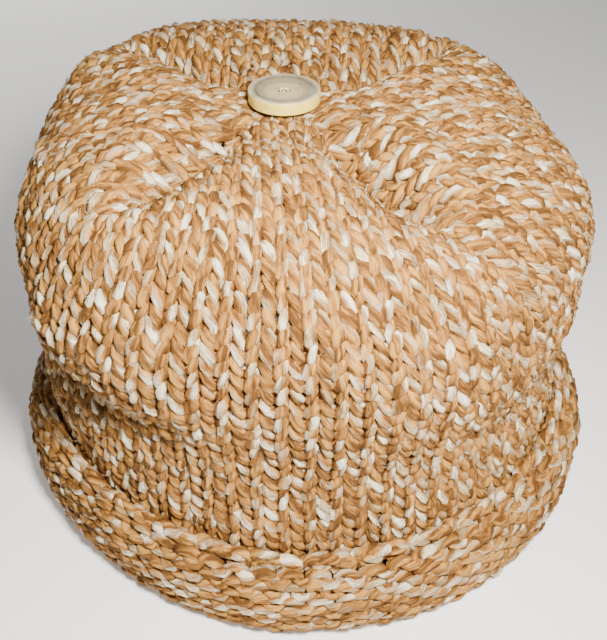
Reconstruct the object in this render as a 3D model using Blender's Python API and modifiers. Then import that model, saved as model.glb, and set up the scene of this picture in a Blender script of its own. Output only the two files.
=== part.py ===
"""A hand-knitted four-panel hat with a turned-up brim and a button on its crown.

Metres, +Z up, front towards -Y. The hat rests on the fold of its brim. The crown and the brim are walls of
knitting, open below for a head.
"""

import math

import bmesh
import bpy

# Crown
HEAD_RADIUS = 0.092  # inside of the knitting where the head goes in
CROWN_EASE = 0.006  # how far the middle of a panel's side stands outside it
CROWN_RADIUS = HEAD_RADIUS + CROWN_EASE
CROWN_HEIGHT = 0.153  # from the surface it rests on to the highest level of the top
KNIT_WALL = 0.007  # chunky knitting, one layer
CROWN_SHIFT = (-0.0068, 0.0036)  # the button's place, off the axis of the brim
SEAM_DEPTH = 0.0095
SEAM_WIDTH = 0.0095
RIDGE_HEIGHT = 0.0045  # how far the side panels stand up beside their seams
RIDGE_WIDTHS = 1.5  # from a seam to the ridge beside it, in seam widths
SEAM_START_RATE = 1.6  # how quickly a seam deepens from its start to its middle
SEAM_END_RATE = 1.2  # how quickly it deepens from its end to its middle
SEAM_LOWEST = 0.60  # share of CROWN_HEIGHT below which no seam shows
SEAM_EASE = 0.15  # share of CROWN_HEIGHT over which the seams begin

# Turned-up brim
BRIM_WIDTH = 0.0185  # from the inside of the knitting to the outside of the turned-up flap
BRIM_RADIUS = HEAD_RADIUS + BRIM_WIDTH
BRIM_HEIGHT = 0.0345
LIP_EASE = 0.0012  # room between the crown and the lip of the flap
SNUG_RADIUS = HEAD_RADIUS + 2.0 * KNIT_WALL + LIP_EASE  # outside of a flap that lies snug against the crown
BRIM_FOOT = 0.0070  # width of the flat ring that the hat rests on
BRIM_JOIN = 0.0160  # height of the hidden row where crown and brim meet

# Button and its thread
BUTTON_RADIUS = 0.0125
BUTTON_THICKNESS = 0.0046
BUTTON_EDGE = 0.0007  # rounding of its edges
BUTTON_RIM = 0.0016  # width of the raised rim
BUTTON_SLOPE = 0.0026  # width of the slope from the rim down to the flat middle
BUTTON_DISH = 0.0010  # depth of the flat middle
BUTTON_HOLE_RADIUS = 0.0009
BUTTON_HOLE_SPACING = 0.0028
THREAD_RADIUS = 0.0005
THREAD_BEND = 0.0006  # radius at which the thread turns into its holes
PIECE_GAP = 0.0003
SEAT_SHARE = 0.955  # height of the button's seat as a share of CROWN_HEIGHT
HEM_SHARE = 0.35  # how far up the lowest level of the crown its straight hem reaches

# Meshing
COLUMNS_PER_OCTANT = 9
COLUMN_CROWDING = 0.5  # how far the columns draw together at the seams
JOIN_ROWS = 2
FOLD_STEPS = 4
FLAP_ROWS = 2
BUTTON_STEPS = 40
HOLE_SIDES = 12
CUTTER_EXTRA = 0.002
ROUNDED = 1.0 - math.sqrt(0.5)  # how far in the middle of a rounded corner lies, as a share of its radius

# Levels of the crown from the button outwards and down. Reach is a share of CROWN_RADIUS and height one of
# CROWN_HEIGHT, at the middle of a panel and at the corner between two. Hem is how far the level takes the
# radius of the head's opening instead. Uneven is how far it follows the uneven outline of TURNS, and rows is
# the number of mesh rows from the level before it.
LEVELS = [
    # name, panel reach, corner reach, panel height, corner height, hem, uneven, rows
    ("rise", 0.30, 0.30, 0.958, 0.962, 0.0, 0.2, 2),
    ("top", 0.55, 0.56, 0.950, 0.985, 0.0, 0.7, 3),
    ("slope", 0.81, 0.86, 0.878, 0.955, 0.0, 1.0, 3),
    ("shoulder", 0.98, 1.03, 0.762, 0.812, 0.0, 1.0, 3),
    ("bulge", 1.012, 1.072, 0.600, 0.640, 0.0, 0.9, 2),
    ("waist", 0.985, 1.00, 0.410, 0.430, 0.5, 0.5, 2),
    ("tuck", 0.99, 0.99, 0.250, 0.250, 0.9, 0.1, 2),
]

# The outline seen from above, one row for the middle of each panel and for each corner, anticlockwise
# from the front. Reach is a share of the level's reach, lift one of CROWN_HEIGHT, and flap and brim are the
# shares of BRIM_RADIUS and BRIM_HEIGHT that the flap has there.
TURNS = [
    # name, azimuth in degrees, reach, lift, flap, brim
    ("front", 0.0, 0.996, 0.000, 1.010, 0.95),
    ("front_right", 35.0, 0.955, -0.080, 1.016, 1.01),
    ("right", 90.0, 1.045, 0.008, 1.022, 1.08),
    ("back_right", 132.0, 1.010, -0.015, 1.000, 1.03),
    ("back", 180.0, 1.012, 0.062, 1.010, 1.00),
    ("back_left", 235.0, 1.068, 0.008, 1.008, 1.08),
    ("left", 270.0, 1.005, 0.050, 1.022, 1.13),
    ("front_left", 320.0, 1.002, -0.016, 0.983, 1.07),
]

# Seams run in the plan from the button to the corners. Start and end are shares of CROWN_RADIUS, depth is
# a share of SEAM_DEPTH, and ridge one of RIDGE_HEIGHT, on the side of the left or right panel.
SEAMS = [
    # turn, start, end, depth, ridge, ridge side
    ("front_right", 0.16, 0.92, 1.15, 1.00, 1.0),
    ("back_right", 0.16, 0.86, 0.90, 0.70, -1.0),
    ("back_left", 0.16, 0.97, 1.05, 0.70, 1.0),
    ("front_left", 0.16, 0.94, 0.95, 0.90, -1.0),
]

# Folds push the wall in or out round a point of it. Height and its spread are shares of CROWN_HEIGHT, push
# is a share of CROWN_RADIUS, and slant is the height share gained for each radian of azimuth.
FOLDS = [
    # name, azimuth in degrees, spread in degrees, height, height spread, push, slant
    ("left_tuck", 302.0, 30.0, 0.520, 0.065, -0.070, -0.02),
    ("left_overhang", 308.0, 30.0, 0.660, 0.090, 0.030, 0.00),
    ("left_notch", 294.0, 9.0, 0.665, 0.050, -0.055, 0.00),
    ("left_flank", 280.0, 26.0, 0.350, 0.055, 0.030, 0.00),
    ("front_swell", 10.0, 30.0, 0.620, 0.120, 0.012, 0.00),
    ("right_waist", 72.0, 32.0, 0.460, 0.080, -0.038, 0.03),
    ("right_dent", 70.0, 14.0, 0.640, 0.045, -0.028, 0.00),
    ("back_right_slope", 108.0, 14.0, 0.850, 0.100, -0.032, 0.00),
    ("back_tuck", 160.0, 30.0, 0.480, 0.080, -0.028, 0.02),
    ("back_left_waist", 238.0, 22.0, 0.450, 0.080, -0.030, 0.00),
]

# The flap's outer face, from the fold up to the lip. Bulge is a share of the way from a snug flap out to the
# flap of TURNS, height one of BRIM_HEIGHT.
FLAP_LEVELS = [
    # name, bulge, height
    ("fold_top", 0.95, 0.34),
    ("middle", 1.00, 0.52),
    ("upper", 0.70, 0.80),
    ("lip", 0.00, 1.00),
]


def smooth(share):
    """A share from 0 to 1, eased at both ends."""
    share = min(max(share, 0.0), 1.0)
    return share * share * (3.0 - 2.0 * share)


def blend(low, high, share):
    return low + (high - low) * share


def turned(degrees):
    """An angle brought to between -180 and 180 degrees."""
    return (degrees + 180.0) % 360.0 - 180.0


def turn_at(azimuth):
    """[reach, lift, flap, brim] of TURNS at an azimuth in degrees, and its nearness to a corner, 0 to 1."""
    azimuth %= 360.0
    for i, (_, start, *here) in enumerate(TURNS):
        _, end, *there = TURNS[(i + 1) % len(TURNS)]
        end += 360.0 * (end <= start)
        if start <= azimuth < end:
            share = smooth((azimuth - start) / (end - start))
            corner = share if i % 2 == 0 else 1.0 - share
            return [blend(a, b, share) for a, b in zip(here, there)], corner
    raise ValueError(azimuth)


def turn_azimuth(name):
    return next(row[1] for row in TURNS if row[0] == name)


def azimuths():
    """The columns of every loft, closer together at the corners, with one on each row of TURNS."""
    found = []
    for i, row in enumerate(TURNS):
        start, end = row[1], TURNS[(i + 1) % len(TURNS)][1]
        end += 360.0 * (end <= start)
        for step in range(COLUMNS_PER_OCTANT):
            even = step / COLUMNS_PER_OCTANT
            crowded = math.sin(0.5 * math.pi * even) if i % 2 == 0 else 1.0 - math.cos(0.5 * math.pi * even)
            found.append(blend(start, end, blend(even, crowded, COLUMN_CROWDING)))
    return found


def seam_height(x, y):
    """How far the seams and the ridges beside them lift or lower the top at a point of the plan."""
    lift = 0.0
    for turn, start, end, depth, ridge, side in SEAMS:
        angle = math.radians(turn_azimuth(turn))
        along_x = CROWN_RADIUS * math.sin(angle) - CROWN_SHIFT[0]
        along_y = -CROWN_RADIUS * math.cos(angle) - CROWN_SHIFT[1]
        length = math.hypot(along_x, along_y)
        along_x, along_y = along_x / length, along_y / length
        from_x, from_y = x - CROWN_SHIFT[0], y - CROWN_SHIFT[1]
        along = (from_x * along_x + from_y * along_y) / CROWN_RADIUS
        across = (from_y * along_x - from_x * along_y) * side
        half = 0.5 * (end - start)
        strength = smooth((along - start) / half * SEAM_START_RATE)
        strength *= smooth((end - along) / half * SEAM_END_RATE)
        lift -= depth * SEAM_DEPTH * math.exp(-((across / SEAM_WIDTH) ** 2)) * strength
        lift += ridge * RIDGE_HEIGHT * math.exp(-((across / SEAM_WIDTH - RIDGE_WIDTHS) ** 2)) * strength
    return lift


def fold_push(azimuth, height):
    """How far the folds push the wall out, at an azimuth in degrees and a height."""
    push = 0.0
    for _, middle, spread, level, height_spread, share, slant in FOLDS:
        off = turned(azimuth - middle)
        level += slant * math.radians(off)
        across = off / spread
        up = (height / CROWN_HEIGHT - level) / height_spread
        push += share * CROWN_RADIUS * math.exp(-(across**2) - up**2)
    return push


def spline_value(a, b, c, d, t):
    """A coordinate of a Catmull-Rom curve at a share t of the way from b to c."""
    bend = (2.0 * a - 5.0 * b + 4.0 * c - d) * t**2 + (3.0 * b - a - 3.0 * c + d) * t**3
    return b + 0.5 * ((c - a) * t + bend)


def spline(points, steps):
    """Points on a smooth curve through these (radius, height) points, with the given steps in each span."""
    first = [2.0 * a - b for a, b in zip(points[0], points[1])]
    last = [2.0 * a - b for a, b in zip(points[-1], points[-2])]
    knots = [first, *points, last]
    found = []
    for i, count in enumerate(steps, start=1):
        for step in range(count):
            found.append(tuple(spline_value(*four, step / count) for four in zip(*knots[i - 1 : i + 3])))
    return [*found, tuple(points[-1])]


def seat_height():
    """Height of the flat of knitting that the button is sewn to."""
    return SEAT_SHARE * CROWN_HEIGHT


def crown_profile(azimuth):
    """(radius, height) points of the crown's outer face at an azimuth, from the button's edge to the join."""
    (reach_share, lift, _, _), corner = turn_at(azimuth)
    hem_radius = HEAD_RADIUS + KNIT_WALL
    points = [(BUTTON_RADIUS, seat_height())]
    for _, panel_reach, corner_reach, panel_height, corner_height, hem, uneven, _ in LEVELS:
        reach = blend(panel_reach, corner_reach, corner) * blend(1.0, reach_share, uneven)
        radius = blend(CROWN_RADIUS * reach, hem_radius, hem)
        height = CROWN_HEIGHT * (blend(panel_height, corner_height, corner) + lift * uneven)
        points.append((radius, height))
    foot = BRIM_JOIN + PIECE_GAP
    points.append((hem_radius, blend(foot, points[-1][1], HEM_SHARE)))
    points.append((hem_radius, foot))
    return spline(points, [row[-1] for row in LEVELS] + [1] * JOIN_ROWS)


def crown_point(azimuth, radius, height):
    """A point of the crown's outer face, with the folds, the seams and the shift of its top put in."""
    angle = math.radians(azimuth)
    radius += fold_push(azimuth, height)
    off_axis = max(1.0 - radius / CROWN_RADIUS, 0.0)
    x = radius * math.sin(angle) + CROWN_SHIFT[0] * off_axis
    y = -radius * math.cos(angle) + CROWN_SHIFT[1] * off_axis
    return x, y, height + seam_height(x, y) * smooth((height / CROWN_HEIGHT - SEAM_LOWEST) / SEAM_EASE)


def loft(name, rings, pole=None):
    """A sheet through closed rings of as many points each, with a pole inside the first if one is given."""
    mesh = bmesh.new()
    rows = [[mesh.verts.new(point) for point in ring] for ring in rings]
    count = len(rows[0])
    if pole:
        tip = mesh.verts.new(pole)
        for i in range(count):
            mesh.faces.new((tip, rows[0][i], rows[0][(i + 1) % count]))
    for upper, lower in zip(rows, rows[1:]):
        for i in range(count):
            j = (i + 1) % count
            mesh.faces.new((upper[i], lower[i], lower[j], upper[j]))
    sheet = bpy.data.meshes.new(name)
    mesh.to_mesh(sheet)
    mesh.free()
    return bpy.data.objects.new(name, sheet)


def thicken(piece, thickness):
    """Gives a sheet its wall, on the side that its faces look away from."""
    wall = piece.modifiers.new("wall", "SOLIDIFY")
    wall.thickness = thickness
    wall.offset = -1.0
    wall.use_even_offset = True


def material(name, color, roughness):
    made = bpy.data.materials.new(name)
    made.use_nodes = True
    shader = made.node_tree.nodes["Principled BSDF"]
    shader.inputs["Base Color"].default_value = (*color, 1.0)
    shader.inputs["Roughness"].default_value = roughness
    shader.inputs["Metallic"].default_value = 0.0
    return made


def finish(piece, parts, look):
    """Puts a piece in the hat's collection, shaded smooth, with its material."""
    parts.objects.link(piece)
    piece.data.materials.append(look)
    if piece.type == "MESH":
        piece.data.shade_smooth()
    return piece


def make_crown(parts, look):
    """The hollow crown: four panels that meet in seams at the button, and the wall down to the brim."""
    columns = azimuths()
    profiles = [crown_profile(azimuth) for azimuth in columns]
    rings = [
        [crown_point(azimuth, *profile[row]) for azimuth, profile in zip(columns, profiles)]
        for row in range(len(profiles[0]))
    ]
    pole = (*CROWN_SHIFT, seat_height())
    piece = loft("crown", rings, pole)
    thicken(piece, KNIT_WALL)
    return finish(piece, parts, look)


def brim_profile(azimuth):
    """(radius, height) points of the brim's outer face: down the inner leg, round the fold, up the flap."""
    (_, _, flap_share, height_share), _ = turn_at(azimuth)
    height = BRIM_HEIGHT * height_share
    outside = BRIM_RADIUS * flap_share
    corner = 0.5 * (outside - HEAD_RADIUS - BRIM_FOOT)
    points = [(HEAD_RADIUS, BRIM_JOIN), (HEAD_RADIUS, blend(corner, BRIM_JOIN, 0.5))]
    for step in range(FOLD_STEPS + 1):
        angle = 0.5 * math.pi * step / FOLD_STEPS
        points.append((HEAD_RADIUS + corner * (1.0 - math.cos(angle)), corner * (1.0 - math.sin(angle))))
    flap = [(blend(SNUG_RADIUS, outside, bulge), height * share) for _, bulge, share in FLAP_LEVELS]
    fold_outer = flap[0][0]
    for step in range(FOLD_STEPS):
        angle = 0.5 * math.pi * step / FOLD_STEPS
        points.append((fold_outer - corner * (1.0 - math.sin(angle)), corner * (1.0 - math.cos(angle))))
    return points + spline(flap, [FLAP_ROWS] * (len(flap) - 1))


def brim_point(azimuth, radius, height):
    angle = math.radians(azimuth)
    return radius * math.sin(angle), -radius * math.cos(angle), height


def make_brim(parts, look):
    """The turned-up brim: an inner leg under the crown, the fold the hat rests on, and the flap outside."""
    columns = azimuths()
    profiles = [brim_profile(azimuth) for azimuth in columns]
    rings = [
        [brim_point(azimuth, *profile[row]) for azimuth, profile in zip(columns, profiles)]
        for row in reversed(range(len(profiles[0])))
    ]
    piece = loft("brim", rings)
    thicken(piece, KNIT_WALL)
    return finish(piece, parts, look)


def button_bottom():
    return seat_height() + PIECE_GAP


def make_button(parts, cutters, look):
    """The dished button, turned round its axis, with two drilled holes."""
    top, edge = BUTTON_THICKNESS, BUTTON_EDGE
    rim_radius = BUTTON_RADIUS - BUTTON_RIM
    profile = [
        (0.0, top - BUTTON_DISH),
        (rim_radius - BUTTON_SLOPE, top - BUTTON_DISH),
        (rim_radius - 0.5 * BUTTON_SLOPE, top - 0.7 * BUTTON_DISH),
        (rim_radius, top - 0.1 * BUTTON_DISH),
        (rim_radius + 0.5 * (BUTTON_RIM - edge), top),
        (BUTTON_RADIUS - edge, top),
        (BUTTON_RADIUS - ROUNDED * edge, top - ROUNDED * edge),
        (BUTTON_RADIUS, top - edge),
        (BUTTON_RADIUS, edge),
        (BUTTON_RADIUS - edge, 0.0),
        (0.0, 0.0),
    ]
    sheet = bpy.data.meshes.new("button")
    corners = [(radius, 0.0, height) for radius, height in profile]
    sheet.from_pydata(corners, [(i, i + 1) for i in range(len(corners) - 1)], [])
    piece = bpy.data.objects.new("button", sheet)
    piece.location = (*CROWN_SHIFT, button_bottom())
    turn = piece.modifiers.new("turn", "SCREW")
    turn.steps = turn.render_steps = BUTTON_STEPS
    turn.use_merge_vertices = True
    turn.merge_threshold = 0.00001
    middle = button_bottom() + 0.5 * BUTTON_THICKNESS
    for side in (-1, 1):
        bpy.ops.mesh.primitive_cylinder_add(
            vertices=HOLE_SIDES,
            radius=BUTTON_HOLE_RADIUS,
            depth=BUTTON_THICKNESS + 2.0 * CUTTER_EXTRA,
            location=(CROWN_SHIFT[0] + 0.5 * side * BUTTON_HOLE_SPACING, CROWN_SHIFT[1], middle),
        )
        drill = bpy.context.object
        drill.name = "button_drill_right" if side > 0 else "button_drill_left"
        drill.users_collection[0].objects.unlink(drill)
        cutters.objects.link(drill)
        drill.hide_render = True
        drill.display_type = "WIRE"
        hole = piece.modifiers.new(drill.name, "BOOLEAN")
        hole.operation = "DIFFERENCE"
        hole.object = drill
    return finish(piece, parts, look)


def make_thread(parts, look):
    """The thread that sews the button on: a stitch over its face, down through both holes to the knitting."""
    half = 0.5 * BUTTON_HOLE_SPACING
    over = button_bottom() + BUTTON_THICKNESS - BUTTON_DISH + PIECE_GAP + THREAD_RADIUS
    under = seat_height() + PIECE_GAP
    side = [
        (half, under),
        (half, over - THREAD_BEND),
        (half - ROUNDED * THREAD_BEND, over - ROUNDED * THREAD_BEND),
        (half - THREAD_BEND, over),
    ]
    route = [(-x, z) for x, z in side] + [(x, z) for x, z in reversed(side)]
    curve = bpy.data.curves.new("button_thread", "CURVE")
    curve.dimensions = "3D"
    curve.bevel_depth = THREAD_RADIUS
    curve.bevel_resolution = 2
    curve.use_fill_caps = True
    line = curve.splines.new("POLY")
    line.points.add(len(route) - 1)
    for point, (x, z) in zip(line.points, route):
        point.co = (CROWN_SHIFT[0] + x, CROWN_SHIFT[1], z, 1.0)
    return finish(bpy.data.objects.new("button_thread", curve), parts, look)


def main():
    for old in list(bpy.data.objects):
        bpy.data.objects.remove(old)
    parts = bpy.data.collections.new("knitted_hat")
    cutters = bpy.data.collections.new("cutters")
    for group in (parts, cutters):
        bpy.context.scene.collection.children.link(group)
    yarn = material("marled_yarn", (0.55, 0.34, 0.17), 0.9)
    make_crown(parts, yarn)
    make_brim(parts, yarn)
    make_button(parts, cutters, material("pale_horn", (0.56, 0.50, 0.38), 0.35))
    make_thread(parts, material("cream_thread", (0.78, 0.72, 0.58), 0.8))


main()
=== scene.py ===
"""The looks of a chunky hand-knitted hat: stitches of looped two-ply yarn, a sewn-on button, floor and light.

Metres, +Z up, front towards -Y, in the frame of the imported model.
"""

import math

import bmesh
import bpy
import numpy as np
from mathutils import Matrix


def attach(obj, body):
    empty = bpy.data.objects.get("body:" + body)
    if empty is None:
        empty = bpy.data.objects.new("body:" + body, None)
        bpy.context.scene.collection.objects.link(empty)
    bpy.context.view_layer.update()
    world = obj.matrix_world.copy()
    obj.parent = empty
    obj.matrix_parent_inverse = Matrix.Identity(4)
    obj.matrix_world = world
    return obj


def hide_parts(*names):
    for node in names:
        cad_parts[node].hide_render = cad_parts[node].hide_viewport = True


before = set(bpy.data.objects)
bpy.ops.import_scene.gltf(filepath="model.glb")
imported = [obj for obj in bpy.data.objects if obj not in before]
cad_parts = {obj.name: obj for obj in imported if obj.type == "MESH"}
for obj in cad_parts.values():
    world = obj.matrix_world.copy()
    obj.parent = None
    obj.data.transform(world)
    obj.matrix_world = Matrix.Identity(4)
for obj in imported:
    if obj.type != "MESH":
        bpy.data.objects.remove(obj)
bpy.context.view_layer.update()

# Sizes and tables of the hat's form, as its construction has them
HEAD_RADIUS = 0.092
CROWN_EASE = 0.006
CROWN_RADIUS = HEAD_RADIUS + CROWN_EASE
CROWN_HEIGHT = 0.153
KNIT_WALL = 0.007
CROWN_SHIFT = (-0.0068, 0.0036)
SEAM_DEPTH = 0.0095
SEAM_WIDTH = 0.0095
RIDGE_HEIGHT = 0.0045
RIDGE_WIDTHS = 1.5  # from a seam to the ridge beside it, in seam widths
SEAM_START_RATE = 1.6  # how quickly a seam deepens from its start to its middle
SEAM_END_RATE = 1.2  # how quickly it deepens from its end to its middle
SEAM_LOWEST = 0.60  # share of CROWN_HEIGHT below which no seam shows
SEAM_EASE = 0.15  # share of CROWN_HEIGHT over which the seams begin
BRIM_WIDTH = 0.0185
BRIM_RADIUS = HEAD_RADIUS + BRIM_WIDTH
LIP_EASE = 0.0012
SNUG_RADIUS = HEAD_RADIUS + 2.0 * KNIT_WALL + LIP_EASE
BRIM_HEIGHT = 0.0345
BRIM_JOIN = 0.0160
BUTTON_RADIUS = 0.0125
BUTTON_THICKNESS = 0.0046
BUTTON_EDGE = 0.0007
BUTTON_RIM = 0.0016
BUTTON_SLOPE = 0.0026
BUTTON_DISH = 0.0010
BUTTON_HOLE_RADIUS = 0.0009
BUTTON_HOLE_SPACING = 0.0028
THREAD_RADIUS = 0.0005
PIECE_GAP = 0.0003
SEAT_SHARE = 0.955  # height of the button's seat as a share of CROWN_HEIGHT
SEAT_HEIGHT = SEAT_SHARE * CROWN_HEIGHT
HEM_SHARE = 0.35  # how far up the lowest level of the crown its straight hem reaches

LEVELS = [
    # name, panel reach, corner reach, panel height, corner height, hem, uneven
    ("rise", 0.30, 0.30, 0.958, 0.962, 0.0, 0.2),
    ("top", 0.55, 0.56, 0.950, 0.985, 0.0, 0.7),
    ("slope", 0.81, 0.86, 0.878, 0.955, 0.0, 1.0),
    ("shoulder", 0.98, 1.03, 0.762, 0.812, 0.0, 1.0),
    ("bulge", 1.012, 1.072, 0.600, 0.640, 0.0, 0.9),
    ("waist", 0.985, 1.00, 0.410, 0.430, 0.5, 0.5),
    ("tuck", 0.99, 0.99, 0.250, 0.250, 0.9, 0.1),
]
TURNS = [
    # name, azimuth in degrees, reach, lift, flap, brim
    ("front", 0.0, 0.996, 0.000, 1.010, 0.95),
    ("front_right", 35.0, 0.955, -0.080, 1.016, 1.01),
    ("right", 90.0, 1.045, 0.008, 1.022, 1.08),
    ("back_right", 132.0, 1.010, -0.015, 1.000, 1.03),
    ("back", 180.0, 1.012, 0.062, 1.010, 1.00),
    ("back_left", 235.0, 1.068, 0.008, 1.008, 1.08),
    ("left", 270.0, 1.005, 0.050, 1.022, 1.13),
    ("front_left", 320.0, 1.002, -0.016, 0.983, 1.07),
]
SEAMS = [
    # turn, start, end, depth, ridge, ridge side
    ("front_right", 0.16, 0.92, 1.15, 1.00, 1.0),
    ("back_right", 0.16, 0.86, 0.90, 0.70, -1.0),
    ("back_left", 0.16, 0.97, 1.05, 0.70, 1.0),
    ("front_left", 0.16, 0.94, 0.95, 0.90, -1.0),
]
FOLDS = [
    # name, azimuth in degrees, spread in degrees, height, height spread, push, slant
    ("left_tuck", 302.0, 30.0, 0.520, 0.065, -0.070, -0.02),
    ("left_overhang", 308.0, 30.0, 0.660, 0.090, 0.030, 0.00),
    ("left_notch", 294.0, 9.0, 0.665, 0.050, -0.055, 0.00),
    ("left_flank", 280.0, 26.0, 0.350, 0.055, 0.030, 0.00),
    ("front_swell", 10.0, 30.0, 0.620, 0.120, 0.012, 0.00),
    ("right_waist", 72.0, 32.0, 0.460, 0.080, -0.038, 0.03),
    ("right_dent", 70.0, 14.0, 0.640, 0.045, -0.028, 0.00),
    ("back_right_slope", 108.0, 14.0, 0.850, 0.100, -0.032, 0.00),
    ("back_tuck", 160.0, 30.0, 0.480, 0.080, -0.028, 0.02),
    ("back_left_waist", 238.0, 22.0, 0.450, 0.080, -0.030, 0.00),
]
PANELS = [
    # name, azimuth of its middle in degrees, seam on its clockwise side, seam on its other side
    ("left", 270.0, "back_left", "front_left"),
    ("front", 0.0, "front_left", "front_right"),
    ("right", 90.0, "front_right", "back_right"),
    ("back", 180.0, "back_right", "back_left"),
]

# Knitting
WALES = 72  # columns of stitches round the hat
WALE_DEGREES = 360.0 / WALES
PANEL_WALES = WALES // len(PANELS)
HALF_PANEL = PANEL_WALES / 2
ROW_HEIGHT = 0.0048
BRIM_ROWS = 12
SEAM_REACH = 0.86  # where a panel's outermost column ends on its seam, as a share of CROWN_RADIUS
COLUMN_TURN = 0.022  # length over which a column draws together above the shoulder
LEAST_TURNS = 0.3  # the fewest such lengths that a column's way over the top counts for
LOOP_LEAN = 0.215  # how far a loop's legs lean, as a share of a column's width
LOOP_REACH = 0.88  # how far a loop reaches to each side of its row, in rows
LOOP_DEPTH = 0.00155  # how far the legs stand in front and the arcs lie behind
KNIT_INSET = 0.0022  # from the crown's outer form in to the middle of the knitting
INSET_EASE = 0.02  # height above the join over which the inset shrinks to that
SEAT_INSET = 0.0022  # the further dip under the button
SEAT_REACH = 0.006  # how far past the button's edge the dip begins
SEAT_EASE = 0.008
SEAM_SINK = 0.0024  # how far the ends of the columns sink into a seam
SEAM_SINK_REACH = 0.0065
FULL_SINK = 0.25  # share of half a panel from which the columns sink fully
JOIN_ROWS = 4.0  # rows above the join over which the inset turns from level to square to the form
NORMAL_ROWS = 0.2  # how far before a column's end its last normal is taken, in rows
END_DROP = 0.9  # how far the map drops for each row past a column's end, in rows
ROW_OVERRUN = 0.9  # how far past a column's end a row still takes it in, in rows
COURSE_LAP = 0.15  # how far a panel's rows run on into the next panel's, in columns
COURSE_STRAY = 0.2  # how far a row's loops may lean past its ends, in columns

# The brim's path, at the middle of its knitting
FLAP_STAND = 0.0010  # how far the flap stands out from the middle of its wall
LIP_LEAN = 0.0028  # how far the cast-on edge leans in from the middle of its wall
LIP_DROP = 0.0006
FOLD_CORNER = 0.0022  # how far the fold's corners are cut
FOLD_TUCK = 0.0011  # how far the fold's outer corner lies inside the flap
LEG_LEVEL = 0.62  # height of the inner leg's middle point as a share of BRIM_JOIN
FLAP_POINTS = [
    # name, share of the way from lip to flap, tuck, share of the brim's height
    ("shoulder", 0.70, 0.0, 0.80),
    ("middle", 1.0, 0.0, 0.54),
    ("foot", 1.0, 0.0003, 0.32),
]

# Yarn
YARN_RADIUS = 0.00184
SLUBS = [
    # share of the radius, length of a thick or thin place
    (0.24, 0.016),
    (0.13, 0.0065),
]
STITCH_YARN = 0.0215  # yarn in one stitch
PLY_PITCH = 0.0170
ROW_YARN = 73.618 * PLY_PITCH  # yarn from a stitch to the one above it
YARN_REPEAT = 256 * PLY_PITCH
PLY_LOBE = 0.15
PLY_STRAY = 1.8  # how far the plies' turn strays, in radians
PLY_STRAY_LENGTH = 0.024
CREAM_EDGE = 0.80  # cosine of how far the cream ply reaches round a yarn from its own middle
STEPS_PER_STITCH = 14
YARN_SIDES = 8
STRIP_FILL = 0.9  # how much of its slot in the map a side of a yarn fills
CAST_ON_STEPS = 12  # for each stitch
CAST_ON_ROW = 0.30  # how far below the lip the cast-on edge lies, in rows
CAST_ON_YARN = 0.0102  # yarn of each strand in one stitch of the edge
CAST_ON_THICKNESS = 1.12  # as a share of the yarn's radius elsewhere
CAST_ON_WIND = (0.0011, 0.0009)  # how far its strands wind out and up
CAST_ON_INSET = 0.0006
CAST_ON_STRANDS = [
    # turns for each stitch, first turn, lift, start of its yarn
    (1.0, 0.0, -0.0004, 500.0),
    (0.5, 0.5, 0.0006, 540.0),
]
THREAD_PLY = 0.56  # radius of each strand of the thread, as a share of THREAD_RADIUS
THREAD_STEPS = 61
THREAD_REACH = 1.25  # its half length as a share of its way from the middle to a hole
THREAD_BEND = 0.62  # share of its half length from which it drops
THREAD_ARCH = 0.00018
THREAD_FOOT = 0.0012  # how far up inside the button it ends
THREAD_YARN = 0.09
THREAD_STRANDS = [
    # skew, lift, start of its yarn
    (0.00022, 0.0, 0.0),
    (-0.00022, 0.00022, 0.03),
]

# Loose fibres
FIBRES = 42000
FIBRE_LENGTH = 0.0032
FIBRE_LENGTHS = (0.45, 1.25)  # the least and the most, as shares of FIBRE_LENGTH
FIBRE_WIDTH = 0.00008
FIBRE_TAPER = 0.8  # width at the middle as a share of the width at the root
FIBRE_ROOT = 0.9  # how far out the roots are, as a share of the yarn's radius
FIBRE_ROUND = 0.75  # how far round the yarn they spread, in radians
FIBRE_STAND = 0.30  # how far a fibre stands out at first, against its lean along the yarn
FIBRE_STRAY = 0.35
FIBRE_BEND = 0.8
FIBRE_DROOP = 0.35
FIBRE_COLORS = {"cream_fibres": (0.92, 0.83, 0.64), "caramel_fibres": (0.50, 0.24, 0.07)}

# Sampling of the form
SPAN_STEPS = 16
BRIM_SPAN_STEPS = 8
BULGE_KNOT = 5
AZIMUTH_STEPS = 720
TOP_STEPS = 160
PATH_STEPS = 120
CELLS = 4  # samples of the fabric map for each column and for each row
INNER_MIDDLE = 0.05  # height of a point inside the crown that all its outer side faces away from
EXTRA_ROWS = 2

SEED = 41
NOISE_SIZE = 4096
STRIDES = (73, 1031)  # of a plane of noise through its values


def smooth(share):
    """A share from 0 to 1, eased at both ends."""
    share = np.clip(share, 0.0, 1.0)
    return share * share * (3.0 - 2.0 * share)


def blend(low, high, share):
    return low + (high - low) * share


def turned(degrees):
    return (degrees + 180.0) % 360.0 - 180.0


def turn_at(azimuth):
    """Reach, lift, flap and brim of TURNS at azimuths in degrees, and how near a corner is, 0 to 1."""
    starts = np.array([row[1] for row in TURNS] + [TURNS[0][1] + 360.0])
    values = np.array([row[2:] for row in TURNS] + [TURNS[0][2:]])
    azimuth = np.mod(azimuth, 360.0)
    i = np.clip(np.searchsorted(starts, azimuth, side="right") - 1, 0, len(TURNS) - 1)
    share = smooth((azimuth - starts[i]) / (starts[i + 1] - starts[i]))
    corner = np.where(i % 2 == 0, share, 1.0 - share)
    return np.moveaxis(blend(values[i], values[i + 1], share[..., None]), -1, 0), corner


def turn_azimuth(name):
    return next(row[1] for row in TURNS if row[0] == name)


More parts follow.
